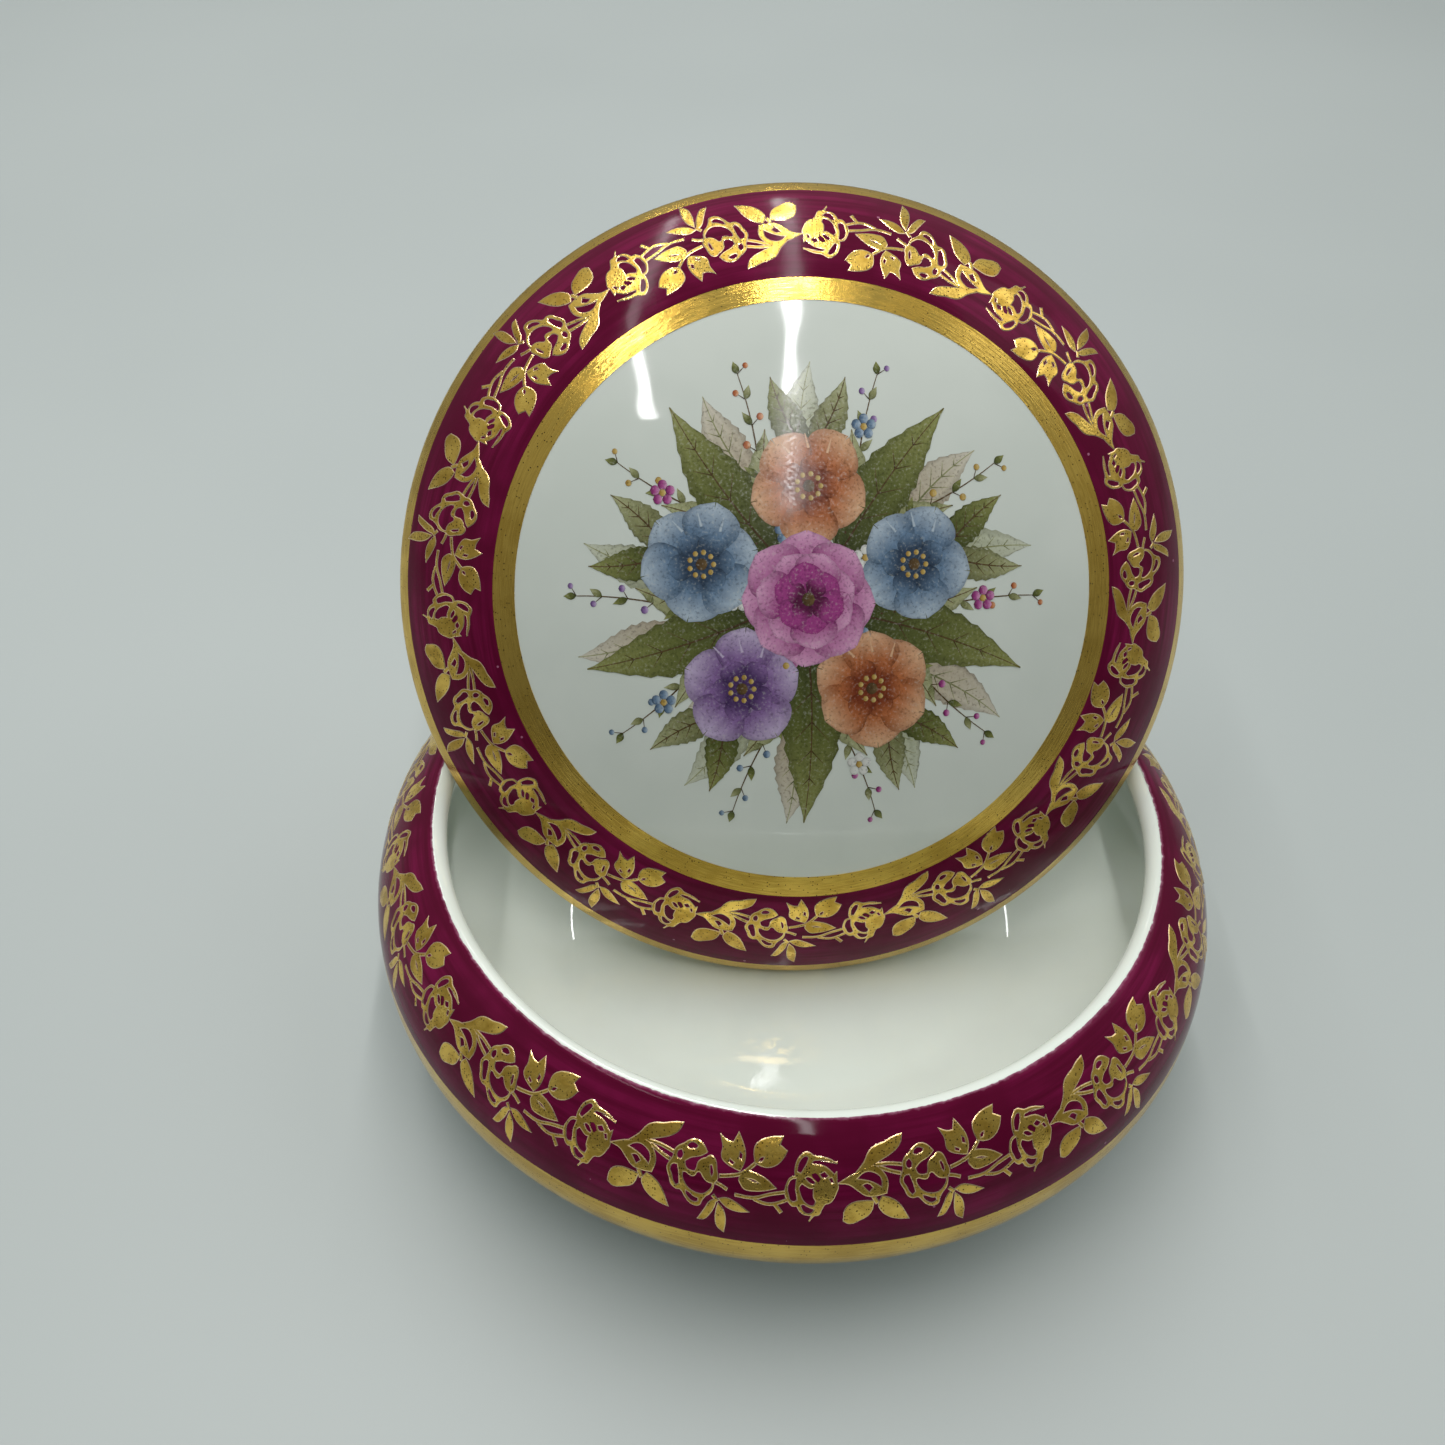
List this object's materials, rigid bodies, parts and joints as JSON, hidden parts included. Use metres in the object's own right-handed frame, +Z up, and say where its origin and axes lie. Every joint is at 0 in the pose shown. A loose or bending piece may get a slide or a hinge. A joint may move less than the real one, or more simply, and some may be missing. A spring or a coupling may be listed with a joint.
{
  "type": "porcelain trinket box",
  "caption": "Low round porcelain trinket box: a footed bowl with a rolled lip and a loose domed lid, decorated with enamel bands, gilding and a painted flower spray.",
  "frame": {"origin": "centre of the foot ring's resting face, on the bowl's axis", "axes": "+Z up along the bowl's axis; the lid leans back towards +Y, so its painted face looks towards -Y and up"},
  "size_m": [0.0922, 0.0922, 0.077],
  "materials": {
    "porcelain": "glossy white glaze",
    "enamel": "glossy burgundy enamel",
    "gilding": "burnished gold",
    "painting": "glossy overglaze colours"
  },
  "bodies": {
    "bowl": {"bowl_body": "porcelain", "bowl_enamel_band": "enamel", "bowl_gilt_line": "gilding", "bowl_garland": "gilding"},
    "lid": {"lid_body": "porcelain", "lid_enamel_band": "enamel", "lid_gilt_edge": "gilding", "lid_gilt_ring": "gilding", "lid_garland": "gilding", "lid_flower_spray": "painting"}
  },
  "joints": [
    {"name": "lid_lift", "type": "slide", "parent": "bowl", "child": "lid", "axis": [0, 0, 1], "range_m": [0, 0.05]}
  ]
}
